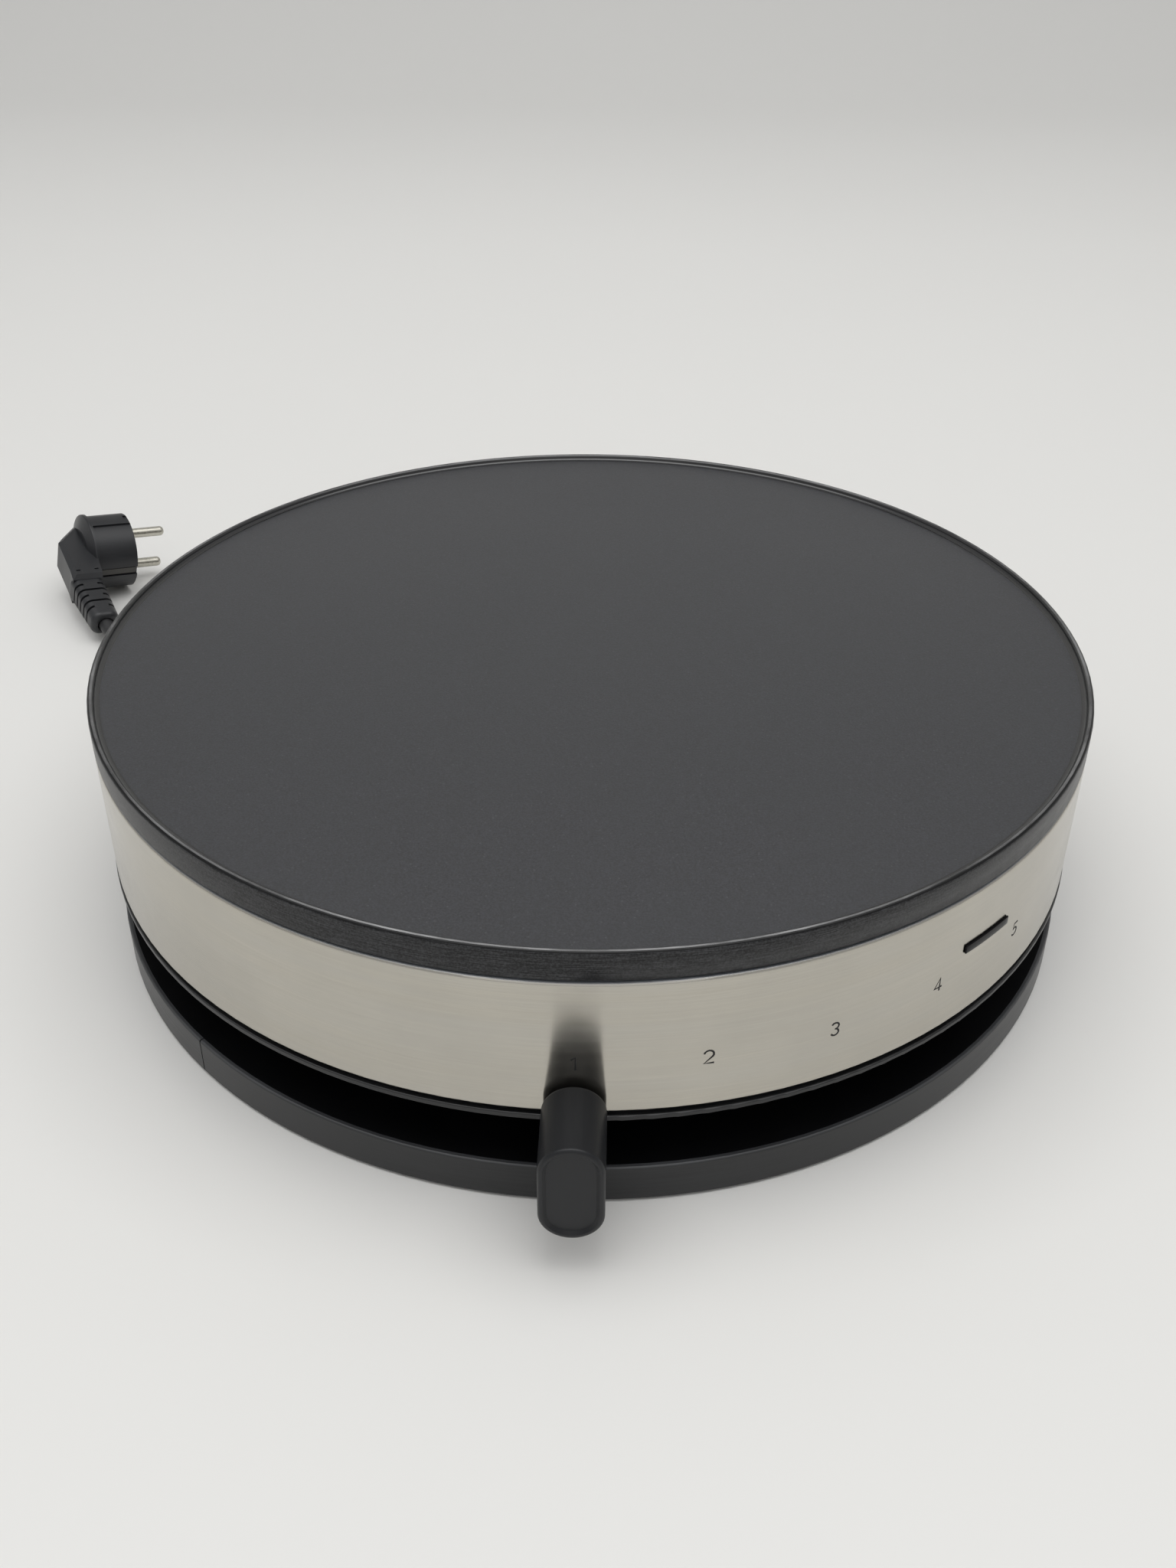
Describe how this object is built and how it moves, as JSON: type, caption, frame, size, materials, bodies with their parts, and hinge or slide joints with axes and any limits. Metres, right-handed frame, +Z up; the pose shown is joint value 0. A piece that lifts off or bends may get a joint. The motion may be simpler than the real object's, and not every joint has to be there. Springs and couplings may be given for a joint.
{
  "type": "electric crepe maker",
  "caption": "Countertop electric crepe maker: round rimmed hot plate on a steel drum and a low black base, with a temperature lever in a slot, an indicator slot and a mains cord with plug.",
  "frame": {"origin": "on the table, on the axis of the round body, which is the middle of the body's box", "axes": "+Z up along the body's axis, front with the lever towards -Y, cord outlet towards +Y"},
  "size_m": [0.4452, 0.498, 0.097],
  "materials": {
    "nonstick": "matt dark non-stick coat on cast aluminium",
    "steel": "brushed stainless, horizontal grain",
    "black_plastic": "satin black heat-resistant moulding",
    "gloss_trim": "semi-gloss black",
    "knob_plastic": "satin black grip",
    "lens": "smoked red lens",
    "gasket": "pressed fibre",
    "element": "heat-tinted sheath",
    "zinc": "zinc-plated steel",
    "shield": "bright aluminised sheet",
    "ceramic": "cream moulded insulation",
    "rubber": "soft black rubber",
    "lamp_glass": "small neon lamp",
    "cord_black": "matt black PVC cord",
    "plug_black": "moulded black PVC",
    "nickel": "nickel-plated brass"
  },
  "bodies": {
    "housing": {"hot_plate": "nonstick", "heating_element": "element", "element_terminals": "zinc", "plate_gasket": "gasket", "heat_shield": "shield", "thermal_cutout": "ceramic", "plate_studs": "zinc", "stud_spacers": "zinc", "stud_nuts": "zinc", "steel_drum": "steel", "indicator_lens": "lens", "lamp_holder": "ceramic", "indicator_lamp": "lamp_glass", "housing_tray": "black_plastic", "pedestal_ring": "black_plastic", "pedestal_screws": "zinc", "base_trim": "gloss_trim", "base_pan": "black_plastic", "bottom_cover": "black_plastic", "rubber_feet": "rubber", "cover_screws": "zinc", "thermostat": "ceramic", "thermostat_screws": "zinc", "terminal_block": "ceramic", "cord_clamp": "black_plastic", "cord_tail": "cord_black", "cord_relief": "rubber", "plug_body": "plug_black", "plug_pins": "nickel", "plug_earth_clips": "nickel", "cord_tie": "rubber", "cord_coil": "cord_black", "cord_to_coil": "cord_black", "cord_to_plug": "cord_black"},
    "lever": {"lever_arm": "black_plastic", "lever_knob": "knob_plastic", "thermostat_shaft": "zinc", "hub_screw": "zinc"}
  },
  "joints": [
    {"name": "temperature_lever", "type": "hinge", "parent": "housing", "child": "lever", "pos_m": [0, 0, 0.0243], "axis": [0, 0, 1], "range_deg": [0, 51]}
  ]
}
